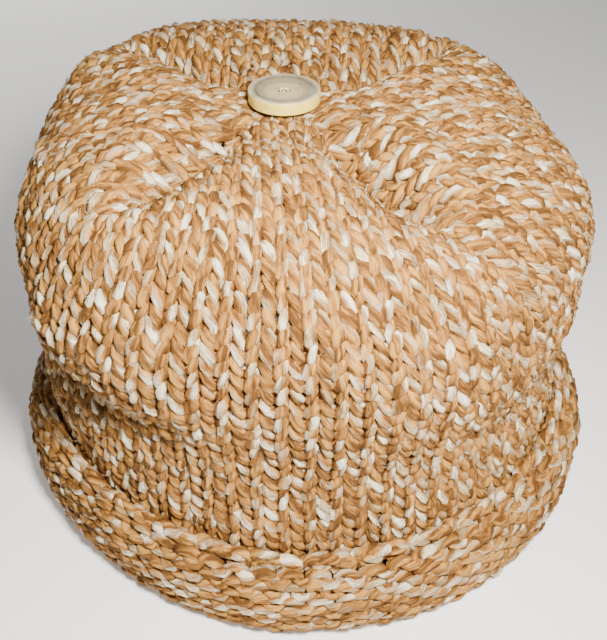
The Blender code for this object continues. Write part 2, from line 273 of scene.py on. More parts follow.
def seam_height(x, y):
    """How far the seams and the ridges beside them lift or lower the top at points of the plan."""
    lift = np.zeros_like(x)
    for turn, start, end, depth, ridge, side in SEAMS:
        angle = math.radians(turn_azimuth(turn))
        along_x = CROWN_RADIUS * math.sin(angle) - CROWN_SHIFT[0]
        along_y = -CROWN_RADIUS * math.cos(angle) - CROWN_SHIFT[1]
        length = math.hypot(along_x, along_y)
        along_x, along_y = along_x / length, along_y / length
        from_x, from_y = x - CROWN_SHIFT[0], y - CROWN_SHIFT[1]
        along = (from_x * along_x + from_y * along_y) / CROWN_RADIUS
        across = (from_y * along_x - from_x * along_y) * side
        middle = 0.5 * (start + end)
        strength = smooth((along - start) / (middle - start) * SEAM_START_RATE)
        strength = strength * smooth((end - along) / (end - middle) * SEAM_END_RATE)
        lift -= depth * SEAM_DEPTH * np.exp(-((across / SEAM_WIDTH) ** 2)) * strength
        lift += ridge * RIDGE_HEIGHT * np.exp(-((across / SEAM_WIDTH - RIDGE_WIDTHS) ** 2)) * strength
    return lift


def fold_push(azimuth, height):
    """How far the folds push the wall out, at azimuths in degrees and heights."""
    push = np.zeros_like(height)
    for _, middle, spread, level, height_spread, share, slant in FOLDS:
        off = turned(azimuth - middle)
        up = (height / CROWN_HEIGHT - level - slant * np.radians(off)) / height_spread
        push += share * CROWN_RADIUS * np.exp(-((off / spread) ** 2) - up**2)
    return push


def spline(knots, steps):
    """Samples of a smooth curve through knots, which run along the first axis."""
    knots = np.concatenate([2 * knots[:1] - knots[1:2], knots, 2 * knots[-1:] - knots[-2:-1]])
    spans = len(knots) - 3
    t = np.linspace(0.0, spans, spans * steps + 1)
    i = np.minimum(t.astype(int), spans - 1)
    t = (t - i).reshape(-1, *[1] * (knots.ndim - 1))
    a, b, c, d = knots[i], knots[i + 1], knots[i + 2], knots[i + 3]
    return 0.5 * (2 * b + (c - a) * t + (2 * a - 5 * b + 4 * c - d) * t**2 + (3 * b - a - 3 * c + d) * t**3)


def crown_profiles(azimuth):
    """Radius and height of the crown's outer form, from the button's edge to the join, at each azimuth."""
    (reach_share, lift, _, _), corner = turn_at(azimuth)
    hem_radius = HEAD_RADIUS + KNIT_WALL
    every = np.ones_like(azimuth)
    knots = [(BUTTON_RADIUS * every, SEAT_HEIGHT * every)]
    for _, panel_reach, corner_reach, panel_height, corner_height, hem, uneven in LEVELS:
        reach = blend(panel_reach, corner_reach, corner) * blend(1.0, reach_share, uneven)
        radius = blend(CROWN_RADIUS * reach, hem_radius, hem)
        knots.append((radius, CROWN_HEIGHT * (blend(panel_height, corner_height, corner) + lift * uneven)))
    foot = BRIM_JOIN + PIECE_GAP
    knots.append((hem_radius * every, blend(foot, knots[-1][1], HEM_SHARE)))
    knots.append((hem_radius * every, foot * every))
    return np.moveaxis(spline(np.array(knots), SPAN_STEPS), 0, -1)


def crown_surface(azimuth, radius, height):
    """Points of the crown's outer form, with the folds, the seams and the shift of its top put in."""
    angle = np.radians(azimuth)
    radius = radius + fold_push(azimuth, height)
    off_axis = np.maximum(1.0 - radius / CROWN_RADIUS, 0.0)
    x = radius * np.sin(angle) + CROWN_SHIFT[0] * off_axis
    y = -radius * np.cos(angle) + CROWN_SHIFT[1] * off_axis
    lift = seam_height(x, y) * smooth((height / CROWN_HEIGHT - SEAM_LOWEST) / SEAM_EASE)
    return np.stack([x, y, height + lift], -1)


def make_top_table():
    """Bulge radius at each azimuth, and the height of the top there at each share inwards from the bulge."""
    azimuth = np.arange(AZIMUTH_STEPS) * 360.0 / AZIMUTH_STEPS
    radius, height = crown_profiles(azimuth)
    last = BULGE_KNOT * SPAN_STEPS + 1
    radius, height = radius[:, :last], height[:, :last]
    inward = np.linspace(0.0, 1.0, TOP_STEPS)
    table = np.empty((AZIMUTH_STEPS, TOP_STEPS))
    for i in range(AZIMUTH_STEPS):
        rising = np.maximum.accumulate(radius[i])
        table[i] = np.interp(radius[i, -1] * (1.0 - inward**2), rising, height[i])
    return radius[:, -1], table


def top_height(tables, azimuth, radius):
    """Height of the crown's outer form over its top, at azimuths in degrees and radii inside the bulge."""
    bulge, table = tables
    place = np.mod(azimuth, 360.0) * AZIMUTH_STEPS / 360.0
    i = place.astype(int) % AZIMUTH_STEPS
    j = (i + 1) % AZIMUTH_STEPS
    share = place - np.floor(place)
    edge = blend(bulge[i], bulge[j], share)
    inward = np.sqrt(np.clip(1.0 - radius / edge, 0.0, 1.0)) * (TOP_STEPS - 1)
    k = np.minimum(inward.astype(int), TOP_STEPS - 2)
    part = inward - k
    low = blend(table[i, k], table[i, k + 1], part)
    high = blend(table[j, k], table[j, k + 1], part)
    return blend(low, high, share)


def brim_path(azimuth):
    """Middle of the brim's knitting: from its lip down the flap, round the fold and up the inner leg."""
    (_, _, flap_share, height_share), _ = turn_at(azimuth)
    every = np.ones_like(azimuth)
    leg = HEAD_RADIUS + 0.5 * KNIT_WALL
    lip = SNUG_RADIUS - 0.5 * KNIT_WALL - LIP_LEAN
    flap = BRIM_RADIUS * flap_share - 0.5 * KNIT_WALL + FLAP_STAND
    height = BRIM_HEIGHT * height_share
    bottom = 0.5 * KNIT_WALL
    knots = [(lip, height - LIP_DROP)]
    knots += [(blend(lip, flap, out) - tuck, share * height) for _, out, tuck, share in FLAP_POINTS]
    knots += [
        (flap - FOLD_TUCK, bottom + FOLD_CORNER),
        (flap - FOLD_TUCK - FOLD_CORNER, bottom),
        (0.5 * (flap + leg), bottom),
        (leg + FOLD_CORNER, bottom),
        (leg, bottom + FOLD_CORNER),
        (leg, LEG_LEVEL * BRIM_JOIN),
        (leg, BRIM_JOIN),
    ]
    knots = np.array([(radius * every, up * every) for radius, up in knots])
    radius, up = np.moveaxis(spline(knots, BRIM_SPAN_STEPS), 1, 0)
    angle = np.radians(azimuth)
    return np.stack([radius * np.sin(angle), -radius * np.cos(angle), up], -1)


def lengths(path):
    return np.concatenate([[0.0], np.cumsum(np.linalg.norm(np.diff(path[:, :3], axis=0), axis=1))])


def resample(path, wanted):
    """A path's columns at the wanted lengths along it."""
    length = lengths(path)
    return np.stack([np.interp(wanted, length, values) for values in path.T], -1)


def unit(vectors):
    return vectors / np.maximum(np.linalg.norm(vectors, axis=-1, keepdims=True), 1e-12)


def wall_paths(azimuth):
    """Each column's way up the wall, as points with the knitting's inset, and the bulge's radius above it."""
    radius, height = crown_profiles(azimuth)
    wall = slice(None, BULGE_KNOT * SPAN_STEPS - 1, -1)
    rise = (height[:, wall] - BRIM_JOIN) / INSET_EASE
    # The knitting's middle joins the brim's leg, so the inset is half a wall there.
    inset = blend(0.5 * KNIT_WALL, KNIT_INSET, smooth(rise))
    points = crown_surface(azimuth[:, None] + 0 * rise, radius[:, wall], height[:, wall])
    return np.concatenate([points, inset[..., None]], -1), radius[:, BULGE_KNOT * SPAN_STEPS]


def path_over_top(panel, column, start, tables):
    """A column's way from the bulge at radius start over the top to its seam, as points with the inset."""
    _, middle, left_seam, right_seam = panel
    share = min(abs(column) / HALF_PANEL, 1.0)
    seam = right_seam if column > 0 else left_seam
    seam_angle = math.radians(turned(turn_azimuth(seam) - middle))
    end_reach = share * SEAM_REACH * CROWN_RADIUS
    end_side, end_out = end_reach * math.sin(seam_angle), end_reach * math.cos(seam_angle)
    start_angle = math.radians(column * WALE_DEGREES)
    start_side, start_out = start * math.sin(start_angle), start * math.cos(start_angle)
    along = np.linspace(0.0, 1.0, PATH_STEPS + 1)[1:] ** 2
    rate = max(start_out - end_out, LEAST_TURNS * COLUMN_TURN) / COLUMN_TURN
    left = (np.exp(-rate * along) - math.exp(-rate)) / (1.0 - math.exp(-rate))
    side = blend(end_side, start_side, left)
    out = blend(start_out, end_out, along)
    azimuth = middle + np.degrees(np.arctan2(side, out))
    radius = np.hypot(side, out)
    top = crown_surface(azimuth, radius, top_height(tables, azimuth, radius))
    dip = SEAT_INSET * smooth((BUTTON_RADIUS + SEAT_REACH - radius) / SEAT_EASE)
    to_seam = (1.0 - along) * (start_out - end_out) / SEAM_SINK_REACH
    sink = SEAM_SINK * smooth(1.0 - to_seam) * min(share / FULL_SINK, 1.0)
    return np.column_stack([top, KNIT_INSET + np.maximum(dip, sink)])


def fabric_of(panel, tables):
    """The map of one panel's knitting: points and normals over columns and rows, and each column's last row.

    Rows count from the join, upwards to the seam and down below 0 to the brim's lip.
    """
    columns = np.arange(-HALF_PANEL * CELLS - 1, HALF_PANEL * CELLS + 2) / CELLS
    azimuth = panel[1] + columns * WALE_DEGREES
    walls, starts = wall_paths(azimuth)
    tops = [path_over_top(panel, column, start, tables) for column, start in zip(columns, starts)]
    paths = [np.concatenate(parts) for parts in zip(walls, tops)]
    last_rows = np.array([lengths(path)[-1] / ROW_HEIGHT for path in paths])
    top_row = int(math.ceil(last_rows.max())) + EXTRA_ROWS
    crown_rows = np.arange(0, top_row * CELLS + 1) / CELLS
    wanted = np.minimum(crown_rows, last_rows[:, None]) * ROW_HEIGHT
    upper = [resample(path, row_lengths) for path, row_lengths in zip(paths, wanted)]
    brim_rows = np.arange(-BRIM_ROWS * CELLS, 0) / CELLS
    down = 1.0 + brim_rows / BRIM_ROWS
    brim_paths = np.moveaxis(brim_path(azimuth), 0, 1)
    lower = [resample(path, lengths(path)[-1] * down) for path in brim_paths]
    # Below the join the map is the knitting's middle itself, and above it the inset is taken off.
    rows = np.concatenate([brim_rows, crown_rows])
    grid = np.concatenate([np.pad(lower, ((0, 0), (0, 0), (0, 1))), upper], axis=1)
    joined, inset = grid[..., :3], grid[..., 3]
    first = len(brim_rows)
    level = joined[:, first:, :2] / np.linalg.norm(joined[:, first:, :2], axis=-1, keepdims=True)
    near = smooth(1.0 - crown_rows / JOIN_ROWS)
    joined[:, first:, :2] -= level * inset[:, first:, None] * near[:, None]
    inset[:, first:] *= 1.0 - near
    normals = grid_normals(joined, first)
    for i, last in enumerate(last_rows):
        kept = rows <= last - NORMAL_ROWS
        normals[i, ~kept] = normals[i, kept][-1]
    points = joined - normals * inset[..., None]
    points[..., 2] -= np.maximum(rows - last_rows[:, None], 0.0) * ROW_HEIGHT * END_DROP
    low = (columns[0], rows[0])
    return {"points": points, "normals": normals, "low": low, "columns": columns, "last": last_rows}


def grid_normals(points, first):
    """Unit normals of a grid of points whose first axis runs round the hat and whose second runs up.

    From the row of index first upwards they are turned to face out, also where columns cross at a seam.
    """
    normal = np.cross(np.gradient(points, axis=0), np.gradient(points, axis=1))
    outward = points[:, first:] - [0.0, 0.0, INNER_MIDDLE]
    facing = np.sum(normal[:, first:] * outward, axis=-1, keepdims=True)
    normal[:, first:] *= np.where(facing < 0.0, -1.0, 1.0)
    for _ in range(2):
        normal[1:-1] = 0.25 * normal[:-2] + 0.5 * normal[1:-1] + 0.25 * normal[2:]
        normal[:, 1:-1] = 0.25 * normal[:, :-2] + 0.5 * normal[:, 1:-1] + 0.25 * normal[:, 2:]
    return unit(normal)


def fabric_at(fabric, column, row):
    """Points and normals of a fabric map at columns and rows."""
    place_c = (column - fabric["low"][0]) * CELLS
    place_r = (row - fabric["low"][1]) * CELLS
    columns, rows, _ = fabric["points"].shape
    i = np.clip(place_c.astype(int), 0, columns - 2)
    j = np.clip(np.floor(place_r).astype(int), 0, rows - 2)
    u = (place_c - i)[:, None]
    v = (place_r - j)[:, None]
    found = []
    for grid in (fabric["points"], fabric["normals"]):
        low = blend(grid[i, j], grid[i + 1, j], u)
        high = blend(grid[i, j + 1], grid[i + 1, j + 1], u)
        found.append(blend(low, high, v))
    return found[0], unit(found[1])


class Noise:
    """Smooth seeded noise between about -1 and 1, along a line or over a plane."""

    def __init__(self, seed):
        self.values = np.random.default_rng(seed).uniform(-1.0, 1.0, NOISE_SIZE)

    def line(self, x):
        i = np.floor(x).astype(np.int64)
        share = smooth(x - i)
        return blend(self.values[i % NOISE_SIZE], self.values[(i + 1) % NOISE_SIZE], share)

    def plane(self, x, y):
        i, j = np.floor(x).astype(np.int64), np.floor(y).astype(np.int64)
        u, v = smooth(x - i), smooth(y - j)

        def value(a, b):
            return self.values[(a * STRIDES[0] + b * STRIDES[1]) % NOISE_SIZE]

        low = blend(value(i, j), value(i + 1, j), u)
        high = blend(value(i, j + 1), value(i + 1, j + 1), u)
        return blend(low, high, v)


slub = Noise(SEED)
fine_slub = Noise(SEED + 1)
ease = Noise(SEED + 2)
shift_noise = Noise(SEED + 3)
turn_noise = Noise(SEED + 4)

UNEVEN = {
    # what strays: noise, how far, change over a column and over a row, start of columns and rows in the noise
    "lean": (ease, 0.16, 0.9, 0.9, 0.0, 7.0),
    "side": (shift_noise, 0.07, 0.7, 0.8, 0.0, 0.0),
    "reach": (ease, 0.10, 0.8, 1.0, 31.0, 0.0),
    "rise": (shift_noise, 0.16, 0.6, 0.6, 50.0, 0.0),
    "depth": (turn_noise, 0.00025, 1.1, 1.3, 0.0, 0.0),
}


def stray(what, wale, row):
    """How far one thing of UNEVEN strays along a row, at columns counted round the hat."""
    noise, reach, wale_rate, row_rate, wale_start, row_start = UNEVEN[what]
    return reach * noise.plane(wale * wale_rate + wale_start, row * row_rate + row_start)


def yarn_radius(along):
    """Thick and thin places of the hand-spun yarn."""
    swells = [share * noise.line(along / length) for noise, (share, length) in zip((slub, fine_slub), SLUBS)]
    return YARN_RADIUS * (1.0 + sum(swells))


def course(fabric, first_wale, row, start, end):
    """One row of a panel's knitting between two columns: its yarn's line, normals, radius and length."""
    count = max(int(math.ceil((end - start) * STEPS_PER_STITCH)), 2)
    base = np.linspace(start, end, count + 1)
    loop = 2.0 * math.pi * (base - 0.5)
    wale = base + first_wale
    lean = LOOP_LEAN * (1.0 + stray("lean", wale, row))
    column = base + lean * np.sin(2.0 * loop) + stray("side", wale, row)
    column = np.clip(column, start - COURSE_STRAY, end + COURSE_STRAY)
    reach = LOOP_REACH * (1.0 + stray("reach", wale, row))
    place = row - reach * np.cos(loop) + stray("rise", wale, row)
    point, normal = fabric_at(fabric, column, place)
    depth = stray("depth", wale, row) - LOOP_DEPTH * np.cos(2.0 * loop)
    line = point + normal * depth[:, None]
    along = (row + BRIM_ROWS) * ROW_YARN % YARN_REPEAT + wale * STITCH_YARN
    return {"line": line, "normal": normal, "radius": yarn_radius(along), "along": along}


def ply_turn(along):
    """How far the plies have turned round each other at lengths along the yarn."""
    return 2.0 * math.pi * along / PLY_PITCH + PLY_STRAY * turn_noise.line(along / PLY_STRAY_LENGTH)


def sides_of(tangent, normal):
    """Directions sideways and outward from a strand, from its tangents and its cloth's normals."""
    side = unit(np.cross(tangent, normal))
    return side, np.cross(side, tangent)


def tube(yarn, sides):
    """Rings round a two-ply yarn's line, and each point's ply turn with the cosine and sine of its side."""
    line = yarn["line"]
    tangent = unit(np.gradient(line, axis=0))
    side, up = sides_of(tangent, yarn["normal"])
    turn = ply_turn(yarn["along"])[:, None]
    place = 2.0 * math.pi * np.arange(sides) / sides
    cosine, sine = np.cos(place), np.sin(place)
    radius = yarn["radius"][:, None] * (1.0 + PLY_LOBE * np.cos(2.0 * (place - turn)))
    outward = cosine[:, None] * side[:, None] + sine[:, None] * up[:, None]
    places = np.stack(np.broadcast_arrays(turn, cosine, sine), -1)
    return line[:, None] + radius[..., None] * outward, places


def mesh_of(name, points, *groups):
    """A mesh of points, pressed flat where the hat rests on them, and of groups of faces of one size each."""
    points[:, 2] = np.maximum(points[:, 2], 0.0)
    corners = np.concatenate([faces.ravel() for faces in groups])
    sizes = np.concatenate([np.full(len(faces), faces.shape[1]) for faces in groups])
    mesh = bpy.data.meshes.new(name)
    mesh.vertices.add(len(points))
    mesh.vertices.foreach_set("co", points.astype(np.float32).ravel())
    mesh.loops.add(len(corners))
    mesh.loops.foreach_set("vertex_index", corners.astype(np.int32))
    mesh.polygons.add(len(sizes))
    mesh.polygons.foreach_set("loop_start", (np.cumsum(sizes) - sizes).astype(np.int32))
    mesh.update(calc_edges=True)
    return mesh


def piece_of(name, mesh):
    mesh.validate()
    piece = bpy.data.objects.new(name, mesh)
    bpy.context.scene.collection.objects.link(piece)
    return piece


def yarn_mesh(name, yarns, sides=YARN_SIDES):
    """One mesh of many closed yarns, with each vertex's place in its yarn and a map in strips."""
    points, places, quads, caps, maps = [], [], [], [], []
    base = 0
    longest = max(len(yarn["line"]) for yarn in yarns)
    slots = sides + 1
    i = np.arange(sides)
    j = (i + 1) % sides
    for number, yarn in enumerate(yarns):
        rings, place = tube(yarn, sides)
        points.append(rings.reshape(-1, 3))
        places.append(place.reshape(-1, 3))
        last = len(rings) - 1
        step = np.arange(last)[:, None]
        ring = base + step * sides
        quads.append(np.stack([ring + i, ring + j, ring + sides + j, ring + sides + i], -1).reshape(-1, 4))
        caps.append(base + np.stack([i[::-1], i + last * sides]))
        u, v = np.broadcast_arrays(step, i)
        corners = [(u, v), (u, v + STRIP_FILL), (u + 1, v + STRIP_FILL), (u + 1, v)]
        strip = [np.stack([a / longest, (number * slots + b) / (len(yarns) * slots)], -1) for a, b in corners]
        maps.append(np.stack(strip, -2).reshape(-1, 2))
        base += len(rings) * sides
    quads, caps = np.concatenate(quads), np.concatenate(caps)
    mesh = mesh_of(name, np.concatenate(points), quads, caps)
    maps.append(np.zeros((caps.size, 2)))
    layer = mesh.uv_layers.new(name="OFBake")
    layer.data.foreach_set("uv", np.concatenate(maps).astype(np.float32).ravel())
    place = mesh.attributes.new("yarn_place", "FLOAT_VECTOR", "POINT")
    place.data.foreach_set("vector", np.concatenate(places).astype(np.float32).ravel())
    # The flat ends meet the next yarn's, so they don't round off the shading of the sides.
    mesh.polygons.foreach_set("use_smooth", np.repeat([True, False], [len(quads), len(caps)]))
    return piece_of(name, mesh)


def fibre_roots(yarn, chooser, count):
    """Random places on a yarn's outward side: point, way out, way along, and whether it is cream there."""
    line = yarn["line"]
    i = chooser.integers(1, len(line) - 1, count)
    tangent = unit(line[i + 1] - line[i - 1])
    side, up = sides_of(tangent, yarn["normal"][i])
    angle = 0.5 * math.pi + chooser.normal(0.0, FIBRE_ROUND, count)
    out = np.cos(angle)[:, None] * side + np.sin(angle)[:, None] * up
    root = line[i] + FIBRE_ROOT * yarn["radius"][i, None] * out
    cream = np.cos(angle - ply_turn(yarn["along"][i])) > CREAM_EDGE
    return root, out, tangent, cream


def fibre_mesh(name, root, out, tangent, chooser):
    """Loose fibres that stand off the yarn, each a bent strip that ends in a point."""
    count = len(root)
    lean = chooser.uniform(-1.0, 1.0, (count, 1))
    strays = chooser.normal(0.0, FIBRE_STRAY, (2, count, 3))
    length = FIBRE_LENGTH * chooser.uniform(*FIBRE_LENGTHS, (count, 1))
    first = unit(FIBRE_STAND * out + lean * tangent + strays[0])
    second = unit(first + FIBRE_BEND * strays[1] - FIBRE_DROOP * out)
    middle = root + 0.5 * length * first
    tip = middle + 0.5 * length * second
    flat = 0.5 * FIBRE_WIDTH * unit(np.cross(first, out + strays[1]))
    thin = FIBRE_TAPER * flat
    points = np.stack([root - flat, root + flat, middle + thin, middle - thin, tip], 1).reshape(-1, 3)
    base = 5 * np.arange(count)[:, None]
    return piece_of(name, mesh_of(name, points, base + [0, 1, 2, 3], base + [3, 2, 4]))


def loose_fibres(yarns):
    """Two pieces of loose fibres, cream and caramel, spread over all the knitting."""
    chooser = np.random.default_rng(SEED + 9)
    total = sum(len(yarn["line"]) for yarn in yarns)
    found = [fibre_roots(yarn, chooser, int(round(FIBRES * len(yarn["line"]) / total))) for yarn in yarns]
    *roots, cream = (np.concatenate(parts) for parts in zip(*found))
    for (name, color), kept in zip(FIBRE_COLORS.items(), (cream, ~cream)):
        made, tree, shader = new_material(name)
        feed(tree, shader, {"Base Color": color, "Roughness": 0.8})
        dress(fibre_mesh(name, *[values[kept] for values in roots], chooser), made, "marled_yarn")


def crown_yarns(panel_number, fabric):
    """The rows of one panel of the crown, from the join to the button."""
    inside = np.abs(fabric["columns"]) <= HALF_PANEL
    columns, last = fabric["columns"][inside], fabric["last"][inside]
    first_wale = panel_number * PANEL_WALES
    found = []
    for row in range(int(last.max()) + 1):
        within = columns[last >= row - ROW_OVERRUN]
        if len(within) >= 2 * CELLS:
            start, end = within.min() - COURSE_LAP, within.max() + COURSE_LAP
            found.append(course(fabric, first_wale, row, start, end))
    return found


def brim_yarns(panel_number, fabric):
    """The rows of one panel's share of the brim."""
    reach = HALF_PANEL + COURSE_LAP
    return [course(fabric, panel_number * PANEL_WALES, row, -reach, reach) for row in range(1 - BRIM_ROWS, 0)]


def cast_on_yarns(fabrics):
    """The cast-on edge: two strands laid round the lip of the flap, one winding over the other."""
    steps = WALES * CAST_ON_STEPS
    wale = np.linspace(0.0, WALES, steps + 1)
    line, normal = np.empty((steps + 1, 3)), np.empty((steps + 1, 3))
    which = np.minimum((wale / PANEL_WALES).astype(int), len(PANELS) - 1)
    for number, fabric in enumerate(fabrics):
        here = which == number
        column = wale[here] - number * PANEL_WALES - HALF_PANEL
        line[here], normal[here] = fabric_at(fabric, column, np.full(here.sum(), CAST_ON_ROW - BRIM_ROWS))
    found = []
    for turns, first_turn, lift, start in CAST_ON_STRANDS:
        phase = 2.0 * math.pi * (wale * turns + first_turn)
        out = CAST_ON_WIND[0] * np.cos(phase) - CAST_ON_INSET
        moved = line + normal * out[:, None]
        moved[:, 2] += CAST_ON_WIND[1] * np.sin(phase) + lift
        along = wale * CAST_ON_YARN + start
        radius = CAST_ON_THICKNESS * yarn_radius(along)
        found.append({"line": moved, "normal": normal, "radius": radius, "along": along})
    return found


def make_knitting(look):
    tables = make_top_table()
    fabrics = list(enumerate(fabric_of(panel, tables) for panel in PANELS))
    pieces = [("crown_knit_" + PANELS[i][0], "crown", crown_yarns(i, fabric)) for i, fabric in fabrics]
    brim = [yarn for i, fabric in fabrics for yarn in brim_yarns(i, fabric)]
    edge = cast_on_yarns([fabric for _, fabric in fabrics])
    pieces += [("brim_knit", "brim", brim), ("cast_on_edge", "brim", edge)]
    for name, node, yarns in pieces:
        dress(yarn_mesh(name, yarns), look, "marled_yarn", node)
    loose_fibres([yarn for _, _, yarns in pieces for yarn in yarns])


def dress(piece, look, slot, *replaced):
    """Gives a piece its material, hangs it from the root and hides the nodes that it stands for; slot is not
    used.
    """
    piece.data.materials.append(look)
    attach(piece, "root")
    if replaced:
        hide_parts(*replaced)


# Colour ramps: each stop has a place and a colour
WHITE = (1.0, 1.0, 1.0)
CARAMEL = [(0.40, (0.12, 0.050, 0.010)), (0.50, (0.31, 0.139, 0.029)), (0.61, (0.54, 0.286, 0.076))]
CREAM = [(0.36, (0.70, 0.52, 0.26)), (0.46, (0.97, 0.85, 0.55)), (0.58, (1.0, 0.97, 0.80))]
# painted shade: each ply darkens from its middle towards the groove where it meets the other
PLY_GROOVE_SHADE = [(0.0, (0.70, 0.60, 0.50)), (0.45, (0.92, 0.89, 0.86)), (1.0, WHITE)]
YARN_STREAKS = [(0.38, (0.62, 0.54, 0.45)), (0.50, (0.92, 0.90, 0.87)), (0.60, WHITE)]
# the thread's cream, with painted shade at its low end where the plies meet
THREAD_CREAM_AND_SHADE = [(0.0, (0.26, 0.20, 0.11)), (0.45, (0.62, 0.53, 0.35)), (1.0, (0.80, 0.72, 0.53))]
THREAD_STREAKS = [(0.36, (0.72, 0.68, 0.60)), (0.60, WHITE)]
HORN_FACE_AND_SLOPE_SHADE = [
    # from the middle of the button to its rim: the dish, painted shade on its slope, and the rim as light as
    # the face again
    (0.00, (0.60, 0.49, 0.27)),
    (0.42, (0.56, 0.46, 0.25)),
    (0.62, (0.34, 0.29, 0.17)),
    (0.80, (0.16, 0.14, 0.09)),
    (0.89, (0.40, 0.35, 0.22)),
    (0.97, (0.56, 0.48, 0.29)),
]
HORN_GRAIN = [(0.35, (0.90, 0.88, 0.84)), (0.60, WHITE)]
HORN_FLECKS = [(0.32, (0.80, 0.77, 0.70)), (0.52, WHITE)]
HORN_SIDE = (0.90, 0.68, 0.13)
SIDE_START = 0.93  # share of the button's radius from which its side shows
HOLE_SHADE = (0.05, 0.035, 0.02)
HOLE_REACH = 0.3  # share of its radius within which its holes lie


def new_material(name):
    """A material with its node tree and its Principled shader."""
    made = bpy.data.materials.new(name)
    made.use_nodes = True
    return made, made.node_tree, made.node_tree.nodes["Principled BSDF"]


def feed(tree, node, inputs):
    """Puts numbers, colours or other nodes' outputs into a node's inputs."""
    for name, value in inputs.items():
        if isinstance(value, tuple):
            node.inputs[name].default_value = (*value, 1.0)
        elif isinstance(value, (int, float)):
            node.inputs[name].default_value = value
        else:
            tree.links.new(value, node.inputs[name])


def add(tree, kind, inputs, **settings):
    node = tree.nodes.new(kind)
    for key, value in settings.items():
        setattr(node, key, value)
    feed(tree, node, inputs)
    return node


def math_node(tree, operation, *values, clamp=False):
    node = add(tree, "ShaderNodeMath", dict(enumerate(values)), operation=operation, use_clamp=clamp)
    return node.outputs[0]


def times(tree, a, b, clamp=False):
    return math_node(tree, "MULTIPLY", a, b, clamp=clamp)


def times_plus(tree, a, b, c):
    return math_node(tree, "MULTIPLY_ADD", a, b, c)


def minus(tree, a, b):
    return math_node(tree, "SUBTRACT", a, b)


def smooth_step(tree, value):
    """A value eased from 0 to 1."""
    node = add(tree, "ShaderNodeMapRange", {"Value": value}, interpolation_type="SMOOTHSTEP")
    return node.outputs["Result"]


def noise_node(tree, vector, detail, roughness, scale=1.0):
    inputs = {"Vector": vector, "Scale": scale, "Detail": detail, "Roughness": roughness}
    return add(tree, "ShaderNodeTexNoise", inputs, noise_dimensions="3D").outputs["Fac"]


def ramp(tree, value, stops):
    node = add(tree, "ShaderNodeValToRGB", {"Fac": value})
    elements = node.color_ramp.elements
    while len(elements) < len(stops):
        elements.new(0.5)
    for element, (place, color) in zip(elements, stops):
        element.position = place
        element.color = (*color, 1.0)
    return node.outputs["Color"]


def mix_color(tree, share, low, high, kind="MIX"):
    node = add(tree, "ShaderNodeMix", {0: share, 6: low, 7: high}, data_type="RGBA", blend_type=kind)
    return node.outputs[2]


def multiply_colors(tree, color, *shades):
    for shade in shades:
        color = mix_color(tree, 1.0, color, shade, "MULTIPLY")
    return color


def vector_of(tree, *parts):
    return add(tree, "ShaderNodeCombineXYZ", dict(enumerate(parts))).outputs[0]


def bump(tree, height, strength, distance):
    node = add(tree, "ShaderNodeBump", {"Strength": strength, "Distance": distance, "Height": height})
    return node.outputs["Normal"]


def spun_strand_group():
    """What any spun strand shows, from its yarn_place: where its plies face, their fibres and their tone."""
    tree = bpy.data.node_groups.new("spun_strand", "ShaderNodeTree")
    tree.interface.new_socket("Place", in_out="INPUT", socket_type="NodeSocketVector")
    for name in ("Fibre Length", "Fibre Count"):
        tree.interface.new_socket(name, in_out="INPUT", socket_type="NodeSocketFloat")
    for name in ("Face", "Cover", "Fibres", "Tone"):
        tree.interface.new_socket(name, in_out="OUTPUT", socket_type="NodeSocketFloat")
    place, fibre_length, fibre_count, _ = add(tree, "NodeGroupInput", {}).outputs
    turn, side_cos, side_sin = add(tree, "ShaderNodeSeparateXYZ", {0: place}).outputs
    turn_cos, turn_sin = math_node(tree, "COSINE", turn), math_node(tree, "SINE", turn)
    face = times_plus(tree, side_cos, turn_cos, times(tree, side_sin, turn_sin))
    flank = minus(tree, times(tree, side_sin, turn_cos), times(tree, side_cos, turn_sin))
    # The cover changes along the strand alone, so it is read along one line of its noise.
    cover_place = vector_of(tree, times(tree, turn, 0.55), 3.7, 0.0)
    fibre_turn = math_node(tree, "DIVIDE", turn, fibre_length)
    fibre_place = vector_of(tree, fibre_turn, times(tree, face, fibre_count), times(tree, flank, fibre_count))
    tone_place = vector_of(tree, times(tree, turn, 0.42), times(tree, face, 0.8), flank)
    found = {
        "Face": face,
        "Cover": noise_node(tree, cover_place, detail=1.5, roughness=0.5),
        "Fibres": noise_node(tree, fibre_place, detail=4.0, roughness=0.66),
        "Tone": noise_node(tree, tone_place, detail=3.0, roughness=0.6),
    }
    add(tree, "NodeGroupOutput", found)


def spun_strand(tree, fibre_length, fibre_count):
    """Places the spun-strand group in a material; returns its face, cover, fibres and tone."""
    place = add(tree, "ShaderNodeAttribute", {}, attribute_name="yarn_place").outputs["Vector"]
    inputs = {"Place": place, "Fibre Length": fibre_length, "Fibre Count": fibre_count}
    group = add(tree, "ShaderNodeGroup", inputs, node_tree=bpy.data.node_groups["spun_strand"])
    return [group.outputs[name] for name in ("Face", "Cover", "Fibres", "Tone")]


def cream_thread():
    """Tightly twisted cream sewing thread, with painted shade where its plies meet."""
    made, tree, shader = new_material("cream_thread")
    face, _, fibres, _ = spun_strand(tree, fibre_length=0.7, fibre_count=4.0)
    ply = math_node(tree, "ABSOLUTE", face)
    # painted shade: the thread darkens at the sides of its plies, where they meet
    color = multiply_colors(tree, ramp(tree, ply, THREAD_CREAM_AND_SHADE), ramp(tree, fibres, THREAD_STREAKS))
    normal = bump(tree, times_plus(tree, fibres, 0.4, ply), strength=0.8, distance=0.0001)
    feed(tree, shader, {"Base Color": color, "Roughness": 0.7, "Normal": normal})
    return made


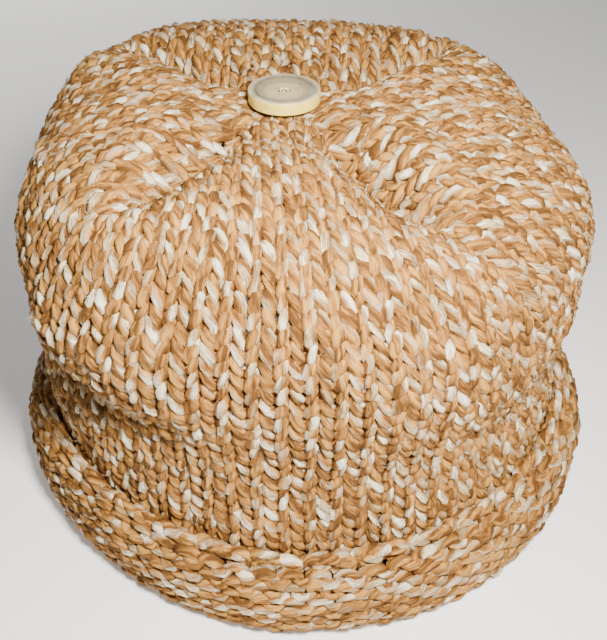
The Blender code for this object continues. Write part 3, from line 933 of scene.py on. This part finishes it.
def marled_yarn():
    """Two soft plies, caramel and a thick-and-thin cream, wound round each other, with fibres along them."""
    made, tree, shader = new_material("marled_yarn")
    face, cover, fibres, tone = spun_strand(tree, fibre_length=0.67, fibre_count=7.0)
    # The cream ply faces out where its side is above an edge that its thickness and its fibres move.
    edge = times_plus(tree, cover, 2.0, minus(tree, face, 1.0 + CREAM_EDGE))
    edge = times_plus(tree, fibres, 0.9, minus(tree, edge, 0.45))
    cream_share = smooth_step(tree, times_plus(tree, edge, 1.15, 0.5))
    from_edge = times(tree, math_node(tree, "ABSOLUTE", edge), 1.5)
    swell = math_node(tree, "POWER", math_node(tree, "MINIMUM", from_edge, 1.0), 0.6)
    color = mix_color(tree, cream_share, ramp(tree, tone, CARAMEL), ramp(tree, tone, CREAM))
    # painted shade: the colour darkens towards the edge between the two plies, where they meet in a groove
    color = multiply_colors(tree, color, ramp(tree, swell, PLY_GROOVE_SHADE), ramp(tree, fibres, YARN_STREAKS))
    height = times_plus(tree, fibres, 0.5, times(tree, swell, 0.6))
    normal = bump(tree, height, strength=0.85, distance=0.0008)
    feed(tree, shader, {"Base Color": color, "Roughness": 0.85, "Specular IOR Level": 0.2, "Normal": normal})
    return made


def pale_horn():
    """Polished pale horn: a greyish face with painted shade on the dish's slope, a rim as light as the face
    again and a yellower side.
    """
    made, tree, shader = new_material("pale_horn")
    place = add(tree, "ShaderNodeTexCoord", {}).outputs["Object"]
    across, deep, up = add(tree, "ShaderNodeSeparateXYZ", {0: place}).outputs
    radius = math_node(tree, "SQRT", times_plus(tree, across, across, times(tree, deep, deep)))
    share = math_node(tree, "DIVIDE", radius, BUTTON_RADIUS)
    mottle = noise_node(tree, place, scale=260.0, detail=3.0, roughness=0.55)
    grain = noise_node(tree, vector_of(tree, times(tree, share, 26.0), up, 0.3), detail=2.0, roughness=0.6)
    wavy = times_plus(tree, mottle, 0.10, minus(tree, share, 0.05))
    below_edge = times(tree, minus(tree, BUTTON_THICKNESS - 0.35 * BUTTON_EDGE, up), 2600.0, clamp=True)
    near_rim = times(tree, minus(tree, share, SIDE_START), 30.0, clamp=True)
    # painted shade: the face darkens on the dish's slope towards the rim
    color = mix_color(tree, times(tree, below_edge, near_rim), ramp(tree, wavy, HORN_FACE_AND_SLOPE_SHADE), HORN_SIDE)
    sunk = times(tree, minus(tree, BUTTON_THICKNESS - BUTTON_DISH, up), 4000.0, clamp=True)
    in_hole = times(tree, math_node(tree, "LESS_THAN", share, HOLE_REACH), sunk)
    color = mix_color(tree, in_hole, color, HOLE_SHADE)
    color = multiply_colors(tree, color, ramp(tree, grain, HORN_GRAIN), ramp(tree, mottle, HORN_FLECKS))
    normal = bump(tree, times_plus(tree, grain, 0.5, mottle), strength=0.25, distance=0.0002)
    roughness = times_plus(tree, mottle, 0.25, 0.27)
    feed(tree, shader, {"Base Color": color, "Roughness": roughness, "Normal": normal})
    return made


# The button's mesh
BUTTON_SIDES = 128
BUTTON_SLOPE_STEPS = 8
BUTTON_EDGE_STEPS = 5
HOLE_SIDES = 32
SHARP_DEGREES = 40.0


def turned_shape(profile, steps):
    """A closed mesh turned round the upright axis from (radius, height) points that start and end on it."""
    turn = 2.0 * math.pi * np.arange(steps) / steps
    ways = list(zip(np.cos(turn), np.sin(turn)))
    mesh = bmesh.new()
    rings = []
    for radius, height in profile[1:-1]:
        rings.append([mesh.verts.new((radius * c, radius * s, height)) for c, s in ways])
    top, bottom = (mesh.verts.new((0.0, 0.0, height)) for _, height in (profile[0], profile[-1]))
    for i in range(steps):
        j = (i + 1) % steps
        mesh.faces.new((top, rings[0][i], rings[0][j]))
        mesh.faces.new((bottom, rings[-1][j], rings[-1][i]))
        for upper, lower in zip(rings, rings[1:]):
            mesh.faces.new((upper[i], lower[i], lower[j], upper[j]))
    made = bpy.data.meshes.new("turned_shape")
    mesh.to_mesh(made)
    mesh.free()
    return made


def make_button():
    """The dished button with rounded edges and two drilled holes, which stands for the plain one."""
    top, edge = BUTTON_THICKNESS, BUTTON_EDGE
    rim = BUTTON_RADIUS - BUTTON_RIM
    quarter = np.linspace(0.0, 0.5 * math.pi, BUTTON_EDGE_STEPS + 1)
    in_and_down = [(edge * (1.0 - math.sin(a)), edge * (1.0 - math.cos(a))) for a in quarter]
    slope = np.linspace(0.0, 1.0, BUTTON_SLOPE_STEPS + 1)
    profile = [(0.0, top - BUTTON_DISH), (0.5 * (rim - BUTTON_SLOPE), top - BUTTON_DISH)]
    profile += [(rim - BUTTON_SLOPE * (1.0 - s), top - BUTTON_DISH * (1.0 - smooth(s))) for s in slope]
    profile += [(BUTTON_RADIUS - inward, top - down) for inward, down in in_and_down]
    profile += [(BUTTON_RADIUS - inward, up) for up, inward in in_and_down]
    profile += [(0.0, 0.0)]
    piece = bpy.data.objects.new("sewn_button", turned_shape(profile, BUTTON_SIDES))
    piece.location = (*CROWN_SHIFT, SEAT_HEIGHT + PIECE_GAP)
    bpy.context.scene.collection.objects.link(piece)
    drills = []
    for side in (-1, 1):
        bpy.ops.mesh.primitive_cylinder_add(
            vertices=HOLE_SIDES,
            radius=BUTTON_HOLE_RADIUS,
            depth=3.0 * BUTTON_THICKNESS,
            location=(CROWN_SHIFT[0] + 0.5 * side * BUTTON_HOLE_SPACING, CROWN_SHIFT[1], piece.location[2]),
        )
        drills.append(bpy.context.object)
        piece.modifiers.new("hole", "BOOLEAN").object = drills[-1]
    depsgraph = bpy.context.evaluated_depsgraph_get()
    drilled = bpy.data.meshes.new_from_object(piece.evaluated_get(depsgraph))
    piece.modifiers.clear()
    piece.data = drilled
    for drill in drills:
        bpy.data.objects.remove(drill)
    drilled.materials.clear()
    drilled.shade_smooth()
    drilled.set_sharp_from_angle(angle=math.radians(SHARP_DEGREES))
    dress(piece, pale_horn(), "pale_horn", "button")


def make_thread():
    """The stitch that holds the button: two strands of cream thread over its dish and down its holes."""
    low = SEAT_HEIGHT + PIECE_GAP
    high = low + BUTTON_THICKNESS - BUTTON_DISH + THREAD_RADIUS
    t = np.linspace(-1.0, 1.0, THREAD_STEPS)
    x = 0.5 * BUTTON_HOLE_SPACING * np.clip(THREAD_REACH * t, -1.0, 1.0)
    drop = smooth((np.abs(t) - THREAD_BEND) / (1.0 - THREAD_BEND))
    normal = np.tile([0.0, 1.0, 0.0], (len(t), 1))
    radius = np.full(len(t), THREAD_PLY * THREAD_RADIUS)
    strands = []
    for skew, lift, start in THREAD_STRANDS:
        y = skew * (np.sin(math.pi * t) + 1.0)
        z = blend(high + lift + THREAD_ARCH * np.cos(0.5 * math.pi * t), low + THREAD_FOOT, drop)
        line = np.stack([CROWN_SHIFT[0] + x, CROWN_SHIFT[1] + y, z], -1)
        along = start + np.linspace(0.0, THREAD_YARN, len(t))
        strands.append({"line": line, "normal": normal, "radius": radius, "along": along})
    dress(yarn_mesh("sewing_thread", strands), cream_thread(), "cream_thread", "button_thread")


# Studio
FLOOR_RADIUS = 3.0
FLOOR_SIDES = 96
FLOOR_DROP = 0.0002
FLOOR_COLOR = (0.95, 0.95, 0.95)
FLOOR_GLOW = 0.2
STUDIO_GLOW = 0.075
LIT_POINT = (0.0, 0.0, 0.07)
LIGHTS = [
    # name, place, size, watts, colour
    ("key", (0.055, -0.24, 0.325), 0.07, 4.3, (1.0, 0.96, 0.90)),
    ("overhead", (0.0, -0.5, 0.95), 0.8, 0.25, WHITE),
    ("rear_fill", (-0.35, 0.85, 0.10), 0.7, 7.0, (1.0, 0.98, 0.95)),
]


def make_camera():
    """The photograph's view: from the front, looking down on the crown from close by."""
    pitch = math.radians(38.22)
    distance = 0.3487
    target = (-0.0002, -0.0248, 0.0726)
    focal_pixels, picture_height, sensor_height = 944.66, 640.0, 24.0
    camera = bpy.data.cameras.new("camera")
    camera.sensor_fit = "VERTICAL"
    camera.sensor_height = sensor_height
    camera.lens = sensor_height * focal_pixels / picture_height
    camera.clip_start = 0.01
    holder = bpy.data.objects.new("camera", camera)
    back, up = distance * math.cos(pitch), distance * math.sin(pitch)
    holder.location = (target[0], target[1] - back, target[2] + up)
    holder.rotation_euler = (0.5 * math.pi - pitch, 0.0, 0.0)
    bpy.context.scene.collection.objects.link(holder)
    bpy.context.scene.camera = holder


def make_light():
    """Studio light: a key close over the camera, a wide soft light above and a low fill from behind."""
    for name, place, size, watts, color in LIGHTS:
        light = bpy.data.lights.new(name, "AREA")
        light.shape = "DISK"
        light.size = size
        light.energy = watts
        light.color = color
        holder = bpy.data.objects.new(name, light)
        holder.location = place
        x, y, z = np.array(LIT_POINT) - place
        holder.rotation_euler = (math.atan2(math.hypot(x, y), -z), 0.0, math.atan2(-x, y))
        bpy.context.scene.collection.objects.link(holder)
    world = bpy.data.worlds.new("studio")
    bpy.context.scene.world = world
    world.use_nodes = True
    background = world.node_tree.nodes["Background"]
    feed(world.node_tree, background, {"Color": WHITE, "Strength": STUDIO_GLOW})


def make_floor():
    bpy.ops.mesh.primitive_circle_add(
        vertices=FLOOR_SIDES, radius=FLOOR_RADIUS, fill_type="NGON", location=(0.0, 0.0, -FLOOR_DROP)
    )
    floor = bpy.context.object
    floor.name = "floor"
    made, tree, shader = new_material("pale_floor")
    feed(tree, shader, {"Base Color": FLOOR_COLOR, "Roughness": 0.7})
    feed(tree, shader, {"Emission Color": WHITE, "Emission Strength": FLOOR_GLOW})
    floor.data.materials.append(made)


def main():
    make_camera()
    spun_strand_group()
    make_knitting(marled_yarn())
    make_button()
    make_thread()
    make_floor()
    make_light()


main()
